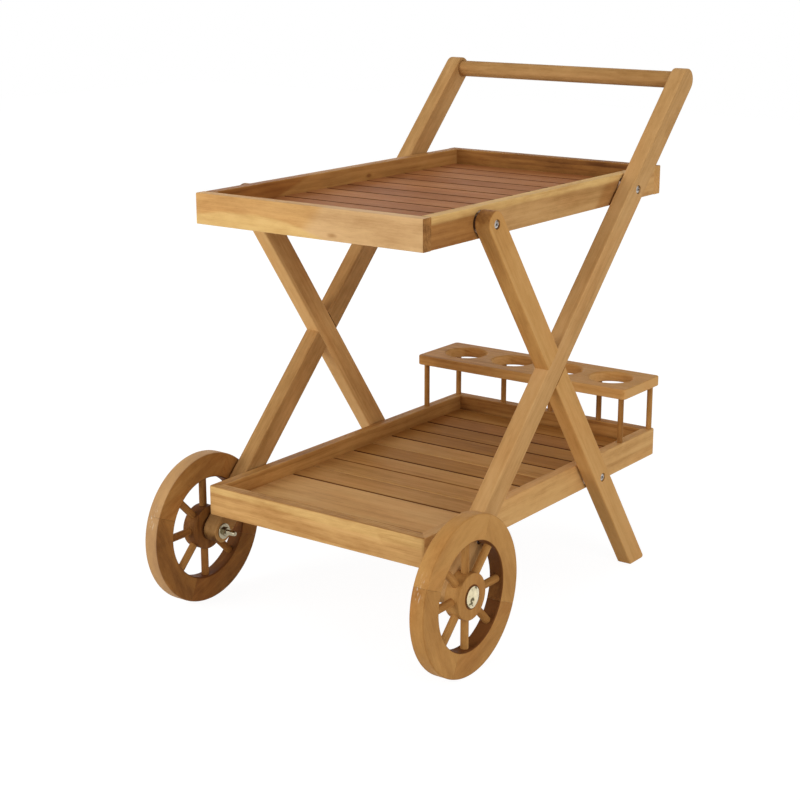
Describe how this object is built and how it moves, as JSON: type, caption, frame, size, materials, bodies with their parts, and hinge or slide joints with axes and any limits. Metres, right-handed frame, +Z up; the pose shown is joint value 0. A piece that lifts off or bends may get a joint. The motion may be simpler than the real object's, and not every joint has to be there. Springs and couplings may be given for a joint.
{
  "type": "bar cart",
  "caption": "Wooden bar cart with crossed side frames, slatted upper and lower trays, a bottle rack, a round push handle and spoked wheels.",
  "frame": {"origin": "on the floor, under the middle of the overall box", "axes": "+Z up, +Y towards the push handle and the bottle rack, +X across the cart along the wheels' axis"},
  "size_m": [0.5332, 0.799, 0.813],
  "materials": {
    "frame_teak": "satin",
    "tray_teak": "satin",
    "floor_teak": "satin",
    "rack_teak": "satin",
    "wheel_teak": "satin",
    "plated_steel": "satin",
    "bright_steel": "satin"
  },
  "bodies": {
    "cart": {"handle_bar_left": "frame_teak", "handle_bar_right": "frame_teak", "leg_left": "frame_teak", "leg_right": "frame_teak", "push_handle": "frame_teak", "upper_front_board": "tray_teak", "upper_rear_board": "tray_teak", "upper_left_rail": "tray_teak", "upper_right_rail": "tray_teak", "lower_front_board": "tray_teak", "lower_rear_board": "tray_teak", "lower_left_rail": "tray_teak", "lower_right_rail": "tray_teak", "upper_slat_01": "floor_teak", "upper_slat_02": "floor_teak", "upper_slat_03": "floor_teak", "upper_slat_04": "floor_teak", "upper_slat_05": "floor_teak", "upper_slat_06": "floor_teak", "upper_slat_07": "floor_teak", "upper_slat_08": "floor_teak", "upper_slat_09": "floor_teak", "upper_slat_10": "floor_teak", "upper_slat_11": "floor_teak", "upper_slat_12": "floor_teak", "lower_slat_01": "floor_teak", "lower_slat_02": "floor_teak", "lower_slat_03": "floor_teak", "lower_slat_04": "floor_teak", "lower_slat_05": "floor_teak", "lower_slat_06": "floor_teak", "lower_slat_07": "floor_teak", "lower_slat_08": "floor_teak", "lower_slat_09": "floor_teak", "lower_slat_10": "floor_teak", "lower_slat_11": "floor_teak", "upper_left_batten": "floor_teak", "upper_centre_batten": "floor_teak", "upper_right_batten": "floor_teak", "lower_left_batten": "floor_teak", "lower_centre_batten": "floor_teak", "lower_right_batten": "floor_teak", "rack_board": "rack_teak", "rack_posts": "rack_teak", "axle_bolts": "plated_steel", "axle_spacers": "plated_steel", "axle_washers": "plated_steel", "axle_nuts": "plated_steel", "tray_bolts": "bright_steel", "tray_spacers": "bright_steel", "threaded_inserts": "bright_steel"},
    "wheel_left": {"wheel_left_rim": "wheel_teak", "wheel_left_hub": "wheel_teak", "wheel_left_spokes": "wheel_teak"},
    "wheel_right": {"wheel_right_rim": "wheel_teak", "wheel_right_hub": "wheel_teak", "wheel_right_spokes": "wheel_teak"}
  },
  "joints": [
    {"name": "wheel_left_spin", "type": "hinge", "parent": "cart", "child": "wheel_left", "pos_m": [-0.2488, -0.2795, 0.12], "axis": [1, 0, 0], "continuous": true},
    {"name": "wheel_right_spin", "type": "hinge", "parent": "cart", "child": "wheel_right", "pos_m": [0.2488, -0.2795, 0.12], "axis": [1, 0, 0], "continuous": true}
  ]
}
